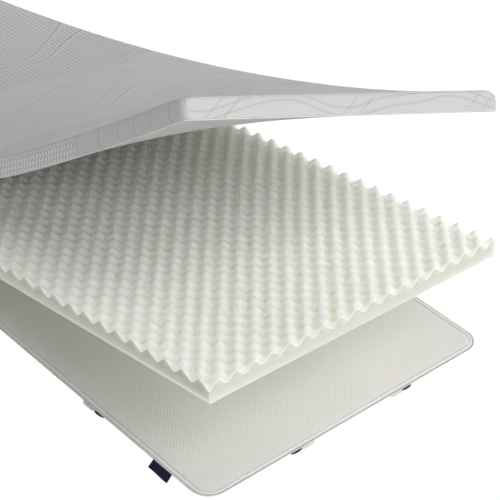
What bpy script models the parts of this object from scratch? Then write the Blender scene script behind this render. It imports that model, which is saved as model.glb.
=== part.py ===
"""Mattress topper opened in layers, like a book that is closed at its head end.

The bottom cover lies flat. The bumpy foam core rises from it towards the foot
end, and the soft top pad in its knitted cover rises more steeply still, with
its left foot corner lifted highest. Metres, +Z up, +Y towards the head end,
origin on the floor under the middle of the bottom cover.
"""

import math
from collections import namedtuple

import bmesh
import bpy
from mathutils import Vector

# Driving dimensions of the closed topper
WIDTH = 0.900
LENGTH = 2.000
CLEARANCE = 0.0004

# Bottom cover: a flat panel, a padded welt round it and half of a zip outside
PANEL_THICKNESS = 0.0045
PANEL_CORNER_RADIUS = 0.052
GROOVE_WIDTH = 0.0012
WELT_WIDTH = 0.0090
WELT_HEIGHT = 0.0032
WELT_ROUNDING = 0.0018
LOWER_ZIP_WIDTH = 0.0045
LOWER_ZIP_HEIGHT = 0.0030
RIM_UNDERSIDE = 0.0019

# Foam core: a flat base with bumps and hollows that alternate like a chessboard
CORE_WIDTH = 0.896
CORE_BASE = 0.0248
CORE_BUMP_DEPTH = 0.0197
CORE_HALF_BUMPS_ACROSS = 35
CORE_HALF_BUMPS_ALONG = 71

# Top pad: knitted top panel and side border over a comfort layer
PAD_THICKNESS = 0.050
KNIT_THICKNESS = 0.004
PAD_CORNER_RADIUS = 0.020
PAD_EDGE_ROUNDING = 0.0035
COMFORT_CLEARANCE = 0.0015
UPPER_ZIP_WIDTH = 0.0055
UPPER_ZIP_HEIGHT = 0.0030
UPPER_ZIP_PROUD = 0.0015
PAD_STATIONS_ACROSS = 12
PAD_STATIONS_ALONG = 30
PAD_ARCH = 0.033

# Corner elastics: a band under each corner, its ends coming out of sewn tabs
BAND_THICKNESS = 0.0014
BAND_CHANNEL_DEPTH = 0.0019
BAND_CHANNEL_MARGIN = 0.003
BAND_REACH = 0.006
BAND_FOOT_NEAR = 0.1625
BAND_FOOT_FAR = 0.1935
BAND_SIDE_NEAR = 0.607
BAND_SIDE_FAR = 0.640
TAB_THICKNESS = 0.0015
TAB_LENGTH = 0.040
TAB_REACH = 0.0105
TAB_ROOT = 0.0085
TAB_SLANT = 0.010

# Woven side label on the left long edge, askew towards the foot end
LABEL_LENGTH = 0.065
LABEL_REACH = 0.025
LABEL_SKEW = 0.012
LABEL_CENTRE_Y = -0.854
LABEL_THICKNESS = 0.0012
LABEL_UNDERSIDE = 0.0022

# How each long edge of a layer leaves the layer below it. Distances run from
# the head end, slopes are in degrees: flat to ramp_start, curving up to
# ramp_slope at ramp_end, then on to foot_slope at the foot end.
EdgeLift = namedtuple("EdgeLift", "ramp_start ramp_end ramp_slope foot_slope")
CORE_LEFT = EdgeLift(ramp_start=0.20, ramp_end=0.59, ramp_slope=9.6, foot_slope=9.6)
CORE_RIGHT = EdgeLift(ramp_start=0.15, ramp_end=0.45, ramp_slope=8.6, foot_slope=8.6)
PAD_LEFT = EdgeLift(ramp_start=0.0, ramp_end=1.445, ramp_slope=36.7, foot_slope=39.3)
PAD_RIGHT = EdgeLift(ramp_start=0.0, ramp_end=0.17, ramp_slope=3.75, foot_slope=31.2)
CORE_HEAD_Y = 0.993
PAD_HEAD_Y = 0.999
PATH_STEPS = 400

# Sideways place of a layer's centre line at its head end, middle and foot end
Drift = namedtuple("Drift", "head middle foot")
CORE_DRIFT = Drift(head=0.009, middle=0.009, foot=0.009)
PAD_DRIFT = Drift(head=-0.045, middle=0.100, foot=0.069)

# A layer's bent shape: its two long edges, its drift, its width and its arch,
# which is how far the middle of the layer stands above its long edges
Layer = namedtuple("Layer", "left right drift width arch")

# How finely the outlines and their roundings are stepped
CORNER_STEPS = 6
ROUNDING_STEPS = 2
TOLERANCE = 1e-6
SHARP_ANGLE = math.radians(50)

Finish = namedtuple("Finish", "colour roughness")
FINISHES = {
    "bottom_knit": Finish((0.70, 0.69, 0.66), 0.90),
    "welt_fabric": Finish((0.78, 0.78, 0.77), 0.85),
    "zip_tape": Finish((0.52, 0.52, 0.52), 0.70),
    "egg_foam": Finish((0.76, 0.79, 0.73), 0.95),
    "comfort_foam": Finish((0.66, 0.69, 0.63), 0.95),
    "cover_knit": Finish((0.48, 0.48, 0.49), 0.90),
    "label_weave": Finish((0.02, 0.02, 0.05), 0.80),
    "elastic": Finish((0.05, 0.05, 0.05), 0.75),
    "tab_webbing": Finish((0.72, 0.72, 0.71), 0.85),
}


def clear_scene():
    """Remove every object that the scene starts with."""
    for old in list(bpy.data.objects):
        bpy.data.objects.remove(old, do_unlink=True)


def make_collection(name):
    """Add a collection to the scene and return it."""
    collection = bpy.data.collections.new(name)
    bpy.context.scene.collection.children.link(collection)
    return collection


def make_material(slot):
    """Principled material with the finish listed for a slot."""
    material = bpy.data.materials.get(slot)
    if material is None:
        material = bpy.data.materials.new(slot)
        material.use_nodes = True
        shader = material.node_tree.nodes["Principled BSDF"]
        finish = FINISHES[slot]
        shader.inputs["Base Color"].default_value = (*finish.colour, 1.0)
        shader.inputs["Roughness"].default_value = finish.roughness
        shader.inputs["Metallic"].default_value = 0.0
    return material


def finish_object(name, bm, slot, collection):
    """Turn a bmesh into an object with its material in a collection."""
    bmesh.ops.recalc_face_normals(bm, faces=bm.faces)
    mesh = bpy.data.meshes.new(name)
    bm.to_mesh(mesh)
    bm.free()
    mesh.shade_smooth()
    mesh.set_sharp_from_angle(angle=SHARP_ANGLE)
    mesh.materials.append(make_material(slot))
    placed = bpy.data.objects.new(name, mesh)
    collection.objects.link(placed)
    return placed


# Flat outlines, plates and rings


def rounded_outline(half_width, half_length, radius):
    """Corner-rounded rectangle about the origin, anticlockwise."""
    centres = [(1, 1, 0.0), (-1, 1, 0.5), (-1, -1, 1.0), (1, -1, 1.5)]
    points = []
    for side_x, side_y, start in centres:
        centre_x = side_x * (half_width - radius)
        centre_y = side_y * (half_length - radius)
        for step in range(CORNER_STEPS + 1):
            angle = math.pi * (start + 0.5 * step / CORNER_STEPS)
            points.append((centre_x + radius * math.cos(angle), centre_y + radius * math.sin(angle)))
    return points


def outline_face(bm, points, height):
    """One flat face through a list of points at a height."""
    face = bm.faces.new([bm.verts.new((x, y, height)) for x, y in points])
    face.normal_update()
    return face


def thicken(bm, faces, thickness):
    """Extrude flat faces upwards into a closed body."""
    grown = bmesh.ops.extrude_face_region(bm, geom=faces, use_keep_orig=True)["geom"]
    raised = [item for item in grown if isinstance(item, bmesh.types.BMVert)]
    bmesh.ops.translate(bm, verts=raised, vec=(0, 0, thickness))


def round_top_edges(bm, height, width):
    """Bevel the edges that run round the top of a plate or ring."""
    rim = [
        edge
        for edge in bm.edges
        if all(abs(vert.co.z - height) < TOLERANCE for vert in edge.verts)
        and any(abs(face.normal.z) < 0.5 for face in edge.link_faces)
    ]
    bmesh.ops.bevel(
        bm,
        geom=rim,
        offset=width,
        offset_type="OFFSET",
        affect="EDGES",
        segments=ROUNDING_STEPS,
        profile=0.5,
        material=-1,
    )


def plate_mesh(points, underside, thickness, rounding=0.0):
    """Flat plate with an outline, and a rounded top edge where asked."""
    bm = bmesh.new()
    thicken(bm, [outline_face(bm, points, underside)], thickness)
    bmesh.ops.recalc_face_normals(bm, faces=bm.faces)
    if rounding:
        round_top_edges(bm, underside + thickness, rounding)
    return bm


def ring_mesh(points, width, underside, thickness, rounding=0.0):
    """Flat ring of a width inside an outline, with rounded top edges where asked."""
    bm = bmesh.new()
    middle = outline_face(bm, points, underside)
    bmesh.ops.inset_region(bm, faces=[middle], thickness=width, use_boundary=True, use_even_offset=True)
    bmesh.ops.delete(bm, geom=[middle], context="FACES_ONLY")
    thicken(bm, list(bm.faces), thickness)
    bmesh.ops.recalc_face_normals(bm, faces=bm.faces)
    if rounding:
        round_top_edges(bm, underside + thickness, rounding)
    return bm


# Bent layers


def smooth_ramp(value):
    """Ease from 0 to 1 with level ends."""
    value = min(max(value, 0.0), 1.0)
    return value * value * (3.0 - 2.0 * value)


def slope_at(lift, distance):
    """Slope in radians of a long edge at a distance from its head end."""
    ramp = smooth_ramp((distance - lift.ramp_start) / (lift.ramp_end - lift.ramp_start))
    beyond = max(distance - lift.ramp_end, 0.0) / (LENGTH - lift.ramp_end)
    return math.radians(lift.ramp_slope * ramp + (lift.foot_slope - lift.ramp_slope) * beyond)


def edge_path(lift, head_y, rest_height):
    """Places (y, z, slope) along a long edge in equal steps from its head end."""
    step = LENGTH / PATH_STEPS
    y, z = head_y, rest_height
    path = []
    for index in range(PATH_STEPS + 1):
        path.append((y, z, slope_at(lift, index * step)))
        middle_slope = slope_at(lift, (index + 0.5) * step)
        y -= math.cos(middle_slope) * step
        z += math.sin(middle_slope) * step
    return path


def path_point(path, distance):
    """Place and slope on a long edge at a distance from its head end."""
    place = min(max(distance / LENGTH, 0.0), 1.0) * PATH_STEPS
    index = min(int(place), PATH_STEPS - 1)
    share = place - index
    return [low + (high - low) * share for low, high in zip(path[index], path[index + 1])]


def drift_at(drift, share):
    """Sideways place of the centre line, a parabola through its three values."""
    bulge = drift.middle - 0.5 * (drift.head + drift.foot)
    return drift.head + (drift.foot - drift.head) * share + 4.0 * bulge * share * (1.0 - share)


def bend_point(flat, layer):
    """Move a point of the flat layer to its place in the lifted layer."""
    distance = LENGTH / 2 - flat.y
    share = distance / LENGTH
    left_y, left_z, left_slope = path_point(layer.left, distance)
    right_y, right_z, right_slope = path_point(layer.right, distance)
    rise, run = right_z - left_z, right_y - left_y
    half_span = 0.5 * math.sqrt(layer.width**2 - rise**2 - run**2)
    centre = drift_at(layer.drift, share)
    left = Vector((centre - half_span, left_y, left_z))
    right = Vector((centre + half_span, right_y, right_z))
    blend = flat.x / layer.width + 0.5
    slope = left_slope + (right_slope - left_slope) * blend
    headwards = Vector((0, math.cos(slope), -math.sin(slope)))
    normal = (right - left).cross(headwards).normalized()
    arch = 4.0 * layer.arch * share * (1.0 - share) * math.sin(math.pi * blend)
    return left.lerp(right, blend) + normal * (flat.z + arch)


def cut_at_stations(bm, width):
    """Cut a flat body across and along, so that it can bend."""
    cuts = []
    for index in range(1, PAD_STATIONS_ACROSS):
        cuts.append(((width * (index / PAD_STATIONS_ACROSS - 0.5), 0, 0), (1, 0, 0)))
    for index in range(1, PAD_STATIONS_ALONG):
        cuts.append(((0, LENGTH * (index / PAD_STATIONS_ALONG - 0.5), 0), (0, 1, 0)))
    for place, direction in cuts:
        everything = list(bm.verts) + list(bm.edges) + list(bm.faces)
        bmesh.ops.bisect_plane(bm, geom=everything, dist=TOLERANCE, plane_co=place, plane_no=direction)


def bend(bm, layer):
    """Bend every vertex of a flat body into the lifted layer."""
    for vert in bm.verts:
        vert.co = bend_point(vert.co, layer)


def core_layer():
    """Bent shape of the foam core, resting on the welt at its head end."""
    rest = RIM_UNDERSIDE + WELT_HEIGHT + CLEARANCE
    return Layer(
        left=edge_path(CORE_LEFT, CORE_HEAD_Y, rest),
        right=edge_path(CORE_RIGHT, CORE_HEAD_Y, rest),
        drift=CORE_DRIFT,
        width=CORE_WIDTH,
        arch=0.0,
    )


def pad_layer():
    """Bent shape of the top pad, resting on the foam core's bumps."""
    core_rest = RIM_UNDERSIDE + WELT_HEIGHT + CLEARANCE
    rest = core_rest + CORE_BASE + CORE_BUMP_DEPTH + CLEARANCE
    return Layer(
        left=edge_path(PAD_LEFT, PAD_HEAD_Y, rest),
        right=edge_path(PAD_RIGHT, PAD_HEAD_Y, rest),
        drift=PAD_DRIFT,
        width=WIDTH,
        arch=PAD_ARCH,
    )


# Bottom cover


def band_outline(side_x, side_y, margin=0.0):
    """Outline of one corner elastic, from the foot or head edge to a long edge."""
    edge_y = LENGTH / 2 + BAND_REACH
    edge_x = WIDTH / 2 + BAND_REACH
    points = [
        (BAND_FOOT_NEAR - margin, edge_y),
        (BAND_FOOT_FAR + margin, edge_y),
        (edge_x, BAND_SIDE_FAR + margin),
        (edge_x, BAND_SIDE_NEAR - margin),
    ]
    return [(side_x * x, side_y * y) for x, y in points]


def build_bottom_panel(collection, cutters):
    """Flat panel with a shallow channel underneath for each corner elastic."""
    inset = LOWER_ZIP_WIDTH + CLEARANCE + WELT_WIDTH + GROOVE_WIDTH
    outline = rounded_outline(WIDTH / 2 - inset, LENGTH / 2 - inset, PANEL_CORNER_RADIUS - inset)
    plate = plate_mesh(outline, 0.0, PANEL_THICKNESS)
    panel = finish_object("bottom_panel", plate, "bottom_knit", collection)
    for side_x in (-1, 1):
        for side_y in (-1, 1):
            points = band_outline(side_x, side_y, BAND_CHANNEL_MARGIN)
            shape = plate_mesh(points, -BAND_CHANNEL_DEPTH, 2 * BAND_CHANNEL_DEPTH)
            cutter = finish_object("band_channel_cutter", shape, "bottom_knit", cutters)
            cutter.hide_render = True
            cutter.display_type = "WIRE"
            cut = panel.modifiers.new("band_channel", "BOOLEAN")
            cut.operation = "DIFFERENCE"
            cut.solver = "EXACT"
            cut.object = cutter


def build_rim(collection):
    """Padded welt round the panel, with the lower half of the zip outside it."""
    inset = LOWER_ZIP_WIDTH + CLEARANCE
    outline = rounded_outline(WIDTH / 2 - inset, LENGTH / 2 - inset, PANEL_CORNER_RADIUS - inset)
    welt = ring_mesh(outline, WELT_WIDTH, RIM_UNDERSIDE, WELT_HEIGHT, WELT_ROUNDING)
    finish_object("edge_welt", welt, "welt_fabric", collection)
    outline = rounded_outline(WIDTH / 2, LENGTH / 2, PANEL_CORNER_RADIUS)
    zip_half = ring_mesh(outline, LOWER_ZIP_WIDTH, RIM_UNDERSIDE, LOWER_ZIP_HEIGHT)
    finish_object("lower_zip_tape", zip_half, "zip_tape", collection)


def build_corner_elastics(collection):
    """Elastic band under each corner and the two sewn tabs that hold its ends."""
    for side_y, end_name in ((-1, "foot"), (1, "head")):
        for side_x, side_name in ((-1, "left"), (1, "right")):
            corner = f"{end_name}_{side_name}"
            band = plate_mesh(band_outline(side_x, side_y), 0.0, BAND_THICKNESS)
            finish_object(f"corner_elastic_{corner}", band, "elastic", collection)
            start = BAND_FOOT_NEAR - CLEARANCE
            tab = tab_outline(start, LENGTH / 2)
            points = [(side_x * along, side_y * out) for along, out in tab]
            end_tab = plate_mesh(points, 0.0, TAB_THICKNESS)
            finish_object(f"end_tab_{corner}", end_tab, "tab_webbing", collection)
            start = BAND_SIDE_NEAR - CLEARANCE
            tab = tab_outline(start, WIDTH / 2)
            points = [(side_x * out, side_y * along) for along, out in tab]
            side_tab = plate_mesh(points, 0.0, TAB_THICKNESS)
            finish_object(f"side_tab_{corner}", side_tab, "tab_webbing", collection)


def tab_outline(start, edge):
    """Tab beside a band end: (place along the edge, distance out from the middle)."""
    inner, outer = edge - TAB_ROOT, edge + TAB_REACH
    return [
        (start, inner),
        (start, outer),
        (start - TAB_LENGTH + TAB_SLANT, outer),
        (start - TAB_LENGTH, edge),
        (start - TAB_LENGTH, inner),
    ]


def build_label(collection):
    """Folded woven label standing out of the left long edge, bare of any text."""
    inner = -WIDTH / 2 - CLEARANCE
    outer = inner - LABEL_REACH
    low, high = LABEL_CENTRE_Y - LABEL_LENGTH / 2, LABEL_CENTRE_Y + LABEL_LENGTH / 2
    points = [(inner, low), (inner, high), (outer, high - LABEL_SKEW), (outer, low - LABEL_SKEW)]
    label = plate_mesh(points, LABEL_UNDERSIDE, LABEL_THICKNESS)
    finish_object("side_label", label, "label_weave", collection)


# Foam core


def bump_height(point):
    """Height of the core's top at a grid point: a peak or a hollow by turns."""
    across = round((CORE_WIDTH / 2 - point.x) / CORE_WIDTH * CORE_HALF_BUMPS_ACROSS)
    along = round((LENGTH / 2 + point.y) / LENGTH * CORE_HALF_BUMPS_ALONG)
    is_peak = (across + along) % 2 == 0
    return CORE_BASE + (CORE_BUMP_DEPTH if is_peak else 0.0)


def at_core_end(vert):
    """Whether a vertex lies inside the foot or head edge, away from the corners."""
    inside = abs(vert.co.x) < CORE_WIDTH / 2 - CLEARANCE
    return inside and abs(vert.co.y) > LENGTH / 2 - CLEARANCE


def runs_lengthways(edge):
    """Whether an edge runs along the length of the core."""
    return abs(edge.verts[0].co.y - edge.verts[1].co.y) > CLEARANCE


def build_foam_core(collection):
    """Bumpy foam slab: a grid of peaks and hollows with plain walls and base."""
    bm = bmesh.new()
    bmesh.ops.create_grid(bm, x_segments=CORE_HALF_BUMPS_ACROSS, y_segments=CORE_HALF_BUMPS_ALONG, size=0.5)
    bmesh.ops.scale(bm, vec=(CORE_WIDTH, LENGTH, 1.0), verts=bm.verts)
    for vert in bm.verts:
        vert.co.z = bump_height(vert.co)
    bmesh.ops.poke(bm, faces=bm.faces)
    rim = [edge for edge in bm.edges if edge.is_boundary]
    walls = bmesh.ops.extrude_edge_only(bm, edges=rim)["geom"]
    base = [item for item in walls if isinstance(item, bmesh.types.BMVert)]
    for vert in base:
        vert.co.z = 0.0
    bmesh.ops.dissolve_verts(bm, verts=[vert for vert in base if at_core_end(vert)])
    open_edges = [edge for edge in bm.edges if edge.is_boundary]
    bmesh.ops.bridge_loops(bm, edges=[edge for edge in open_edges if runs_lengthways(edge)])
    bend(bm, core_layer())
    finish_object("foam_core", bm, "egg_foam", collection)


# Top pad


def build_top_pad(collection):
    """Comfort layer, side border, top panel and the upper half of the zip."""
    layer = pad_layer()
    outline = rounded_outline(WIDTH / 2, LENGTH / 2, PAD_CORNER_RADIUS)
    panel_underside = PAD_THICKNESS - KNIT_THICKNESS
    border_underside = UPPER_ZIP_HEIGHT + CLEARANCE
    border_height = panel_underside - CLEARANCE - border_underside
    inset = UPPER_ZIP_WIDTH + COMFORT_CLEARANCE
    inner = rounded_outline(WIDTH / 2 - inset, LENGTH / 2 - inset, PAD_CORNER_RADIUS - inset)
    comfort_height = panel_underside - COMFORT_CLEARANCE - UPPER_ZIP_PROUD
    panel = plate_mesh(outline, panel_underside, KNIT_THICKNESS, PAD_EDGE_ROUNDING)
    pieces = [
        ("top_panel", panel, "cover_knit"),
        ("side_border", ring_mesh(outline, KNIT_THICKNESS, border_underside, border_height), "cover_knit"),
        ("upper_zip_tape", ring_mesh(outline, UPPER_ZIP_WIDTH, 0.0, UPPER_ZIP_HEIGHT), "zip_tape"),
        ("comfort_layer", plate_mesh(inner, UPPER_ZIP_PROUD, comfort_height), "comfort_foam"),
    ]
    for name, bm, slot in pieces:
        cut_at_stations(bm, WIDTH)
        bend(bm, layer)
        finish_object(name, bm, slot, collection)


def build_topper():
    """Build every piece of the opened topper."""
    clear_scene()
    topper = make_collection("mattress_topper")
    cutters = make_collection("cutters")
    build_bottom_panel(topper, cutters)
    build_rim(topper)
    build_corner_elastics(topper)
    build_label(topper)
    build_foam_core(topper)
    build_top_pad(topper)


build_topper()
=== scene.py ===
"""Mattress topper opened in layers: its foams, knitted cover, zips and stage.

Run as a script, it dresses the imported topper. The bottom cover lies flat, the
bumpy foam core rises from it towards the foot end, and the top pad rises more
steeply still. Metres, +Z up, +Y towards the head end.
"""

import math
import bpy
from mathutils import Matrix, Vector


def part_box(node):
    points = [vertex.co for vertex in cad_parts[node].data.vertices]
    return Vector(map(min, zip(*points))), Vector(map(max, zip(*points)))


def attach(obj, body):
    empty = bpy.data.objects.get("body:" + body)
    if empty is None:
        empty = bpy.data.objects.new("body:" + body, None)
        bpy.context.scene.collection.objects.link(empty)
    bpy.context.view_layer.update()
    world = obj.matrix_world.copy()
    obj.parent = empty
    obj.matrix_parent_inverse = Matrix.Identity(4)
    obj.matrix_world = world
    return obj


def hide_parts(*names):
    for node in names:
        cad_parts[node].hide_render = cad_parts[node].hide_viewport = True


bl_info = {
    "name": "Mattress topper",
    "version": (1, 0, 0),
    "blender": (4, 5, 0),
    "location": "3D View > Sidebar > Topper",
    "description": "Opened mattress topper with bumpy foam, knitted cover and zips",
    "category": "Object",
}

from collections import namedtuple

import bmesh
import bpy
from mathutils import Matrix, Vector, noise

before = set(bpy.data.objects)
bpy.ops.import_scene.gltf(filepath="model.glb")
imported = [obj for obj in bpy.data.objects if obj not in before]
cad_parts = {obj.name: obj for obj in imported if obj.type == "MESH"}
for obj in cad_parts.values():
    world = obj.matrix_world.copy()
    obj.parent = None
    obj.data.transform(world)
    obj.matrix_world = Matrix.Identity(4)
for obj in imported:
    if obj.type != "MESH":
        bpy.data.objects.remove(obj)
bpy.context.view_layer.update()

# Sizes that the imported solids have, so that every new piece fits them
RIM_LOW, RIM_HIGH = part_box("lower_zip_tape")
WIDTH = RIM_HIGH.x - RIM_LOW.x
LENGTH = RIM_HIGH.y - RIM_LOW.y
CLEARANCE = 0.0004

PANEL_THICKNESS = 0.0045
PANEL_CORNER_RADIUS = 0.052
PANEL_ROUNDING = 0.0014
GROOVE_WIDTH = 0.0012
WELT_WIDTH = 0.0090
WELT_HEIGHT = 0.0032
WELT_TOP_ROUNDING = 0.0019
WELT_FOOT_ROUNDING = 0.0009
LOWER_ZIP_WIDTH = 0.0045
RIM_UNDERSIDE = 0.0019

# The bumps lie a little wider apart along the left edge than along the right
CORE_WIDTH = 0.896
CORE_BASE = 0.0248
CORE_BUMP_DEPTH = 0.0197
CORE_ROUNDING = 0.0036
HALF_BUMP_ACROSS = 0.0254
HALF_BUMP_ALONG_LEFT = 0.0285
HALF_BUMP_ALONG_RIGHT = 0.0276
FIRST_BUMP_FROM_RIGHT = 0.0040
FIRST_BUMP_FROM_FOOT = 0.0056

PAD_THICKNESS = 0.050
KNIT_THICKNESS = 0.004
KNIT_ROUNDING = 0.0036
BORDER_BULGE = 0.0014
BORDER_CUTS = (0.1, 0.25, 0.5, 0.75, 0.9)
COMFORT_ROUNDING = 0.003
PAD_CORNER_RADIUS = 0.020
COMFORT_CLEARANCE = 0.0015
UPPER_ZIP_WIDTH = 0.0055
UPPER_ZIP_HEIGHT = 0.0030
UPPER_ZIP_PROUD = 0.0015
UPPER_TAPE_THICKNESS = 0.0016
LOWER_TAPE_THICKNESS = 0.0014
TAPE_ROUNDING = 0.0004
TOOTH_RADIUS = 0.0010
TOOTH_LENGTH = 0.0032
UPPER_TOOTH_INSET = 0.0022
UPPER_TOOTH_HEIGHT = 0.0012
LOWER_TOOTH_INSET = 0.0020
LOWER_TOOTH_HEIGHT = 0.0023
STITCH_RADIUS = 0.00035
STITCH_LENGTH = 0.0045
STITCH_DEPTH = 0.0001
STITCH_INSET = 0.0022
CORNER_REACH = 0.038
CORNER_DROP = 0.003
CORNER_DROP_FOOT_RIGHT = 0.016
PAD_ARCH = 0.033

# The bands and tabs stick out a little less than their solids, as in the photograph
BAND_THICKNESS = 0.0014
BAND_REACH = 0.0046
BAND_FOOT_NEAR = 0.1625
BAND_FOOT_FAR = 0.1935
BAND_SIDE_NEAR = 0.607
BAND_SIDE_FAR = 0.640
BAND_BULGE = 0.003
BAND_BULGE_START = 0.0022
BAND_ROUNDING = 0.0005
CHANNEL_REACH = 0.045
CHANNEL_RAMP = 0.020
TAB_THICKNESS = 0.0015
TAB_LENGTH = 0.040
TAB_REACH = 0.0066
TAB_ROOT = 0.0085
TAB_SLANT = 0.007
TAB_CORNER_RADIUS = 0.0025
TAB_ROUNDING = 0.0006

LABEL_LENGTH = 0.065
LABEL_REACH = 0.025
LABEL_SKEW = 0.012
LABEL_CENTRE_Y = -0.854
LABEL_THICKNESS = 0.0012
LABEL_UNDERSIDE = 0.0022
LABEL_ROUNDING = 0.0004
LABEL_WAVE_DEPTH = 0.0012
LABEL_WAVE_TURN = 5.0
LABEL_WAVE_START = 1.0
LABEL_DROOP = 0.0004

# Steps across and along that each sheet is cut into, and gentle unevenness of its
# surface, whose depth for the border is a share of the border's bulge
PAD_STEPS = (60, 132)
COMFORT_STEPS = (44, 96)
PANEL_STEPS = (72, 160)
LABEL_STEPS = (6, 14)
Swell = namedtuple("Swell", "depth size seed")
KNIT_SWELL = Swell(depth=0.0007, size=0.10, seed=1.0)
BORDER_SWELL = Swell(depth=0.5, size=0.09, seed=2.0)
PANEL_SWELL = Swell(depth=0.0003, size=0.07, seed=3.0)
COMFORT_SWELL = Swell(depth=0.0006, size=0.11, seed=4.0)

# How each long edge of a layer leaves the layer below it, with distances from
# the head end and slopes in degrees
EdgeLift = namedtuple("EdgeLift", "ramp_start ramp_end ramp_slope foot_slope")
CORE_LEFT = EdgeLift(ramp_start=0.20, ramp_end=0.59, ramp_slope=9.6, foot_slope=9.6)
CORE_RIGHT = EdgeLift(ramp_start=0.15, ramp_end=0.45, ramp_slope=8.6, foot_slope=8.6)
PAD_LEFT = EdgeLift(ramp_start=0.0, ramp_end=1.445, ramp_slope=36.7, foot_slope=39.3)
PAD_RIGHT = EdgeLift(ramp_start=0.0, ramp_end=0.17, ramp_slope=3.75, foot_slope=31.2)
CORE_HEAD_Y = 0.993
PAD_HEAD_Y = 0.999
CORE_REST = RIM_UNDERSIDE + WELT_HEIGHT + CLEARANCE
PAD_REST = CORE_REST + CORE_BASE + CORE_BUMP_DEPTH + CLEARANCE
PATH_STEPS = 400

# Sideways place of a layer's centre line at its head end, middle and foot end
Drift = namedtuple("Drift", "head middle foot")
CORE_DRIFT = Drift(head=0.009, middle=0.009, foot=0.009)
PAD_DRIFT = Drift(head=-0.045, middle=0.100, foot=0.069)
Layer = namedtuple("Layer", "left right drift width arch")

# Dark and light tints of the cover's knit, and pitch and contrast of each woven fabric
KNIT_TINTS = (0.74, 1.26)
TAPE_WEAVE = (0.0012, 0.12)
TEETH_WEAVE = (0.0008, 0.08)
WELT_WEAVE = (0.0014, 0.08)
STITCH_WEAVE = (0.0008, 0.1)
TAB_WEAVE = (0.0013, 0.10)

TOLERANCE = 1e-6
SHARP_ANGLE = math.radians(50)
FLAT_PLACE = "flat_place"

# Name, azimuth from the foot end towards the right, elevation, width and energy of each lamp
STUDIO_LAMPS = [
    ("key_front_right", 20, 36, 60, 2.38),
    ("side_right", 90, 16, 50, 1.60),
    ("side_left", -58, 19, 55, 1.27),
    ("back", 176, 16, 50, 0.95),
    ("top", 10, 64, 55, 0.60),
]
FLOOR_SIZE = 40.0
FLOOR_HEIGHT = -0.0002
FLOOR_GLOW = 0.94

CAMERA_LENS = 128.4
CAMERA_PLACE = Vector((-2.3623, -3.0466, 2.7415))
CAMERA_RIGHT = Vector((0.7434, -0.6665, 0.0563))
CAMERA_UP = Vector((0.3611, 0.4707, 0.8050))
CAMERA_BACK = Vector((-0.5630, -0.5781, 0.5906))

ACROSS = Vector((1, 0, 0))
ALONG = Vector((0, 1, 0))
UP = Vector((0, 0, 1))


# Shader maths


def operator_pair(operation):
    """Forward and reflected methods that add a Math node of an operation."""

    def forward(self, other):
        return self.finish.maths(operation, self, other)

    def reflected(self, other):
        return self.finish.maths(operation, other, self)

    return forward, reflected


class Value:
    """A node's output that plain arithmetic works on."""

    __add__, __radd__ = operator_pair("ADD")
    __sub__, __rsub__ = operator_pair("SUBTRACT")
    __mul__, __rmul__ = operator_pair("MULTIPLY")
    __truediv__, __rtruediv__ = operator_pair("DIVIDE")

    def __init__(self, finish, socket):
        self.finish = finish
        self.socket = socket


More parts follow.
